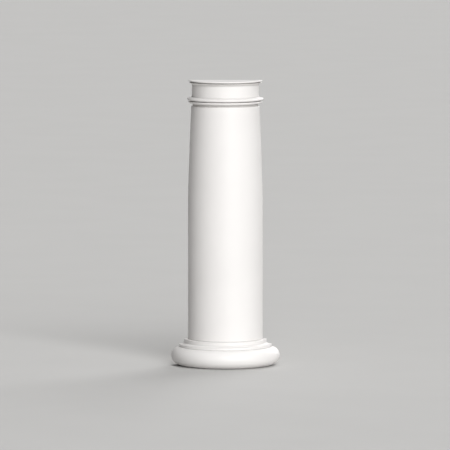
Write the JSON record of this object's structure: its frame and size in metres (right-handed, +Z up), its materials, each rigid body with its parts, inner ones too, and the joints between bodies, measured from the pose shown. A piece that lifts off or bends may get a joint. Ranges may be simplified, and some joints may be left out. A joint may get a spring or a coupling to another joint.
{
  "type": "half column",
  "caption": "Half column with a torus base, plain tapering shaft, beaded astragal and flared neck, flat at the back to stand against a wall.",
  "frame": {"origin": "bottom centre of the bounding box, on the floor under the base; the column's axis lies in the plane of the back, 0.091 m behind the origin", "axes": "+X to the right of someone who faces the column; +Y through the back, into the wall; +Z up"},
  "size_m": [0.364, 0.182, 0.9542],
  "materials": {
    "primed_foam": "satin white primer on smooth moulded foam"
  },
  "bodies": {
    "root": {"half_column": "primed_foam"}
  },
  "joints": []
}
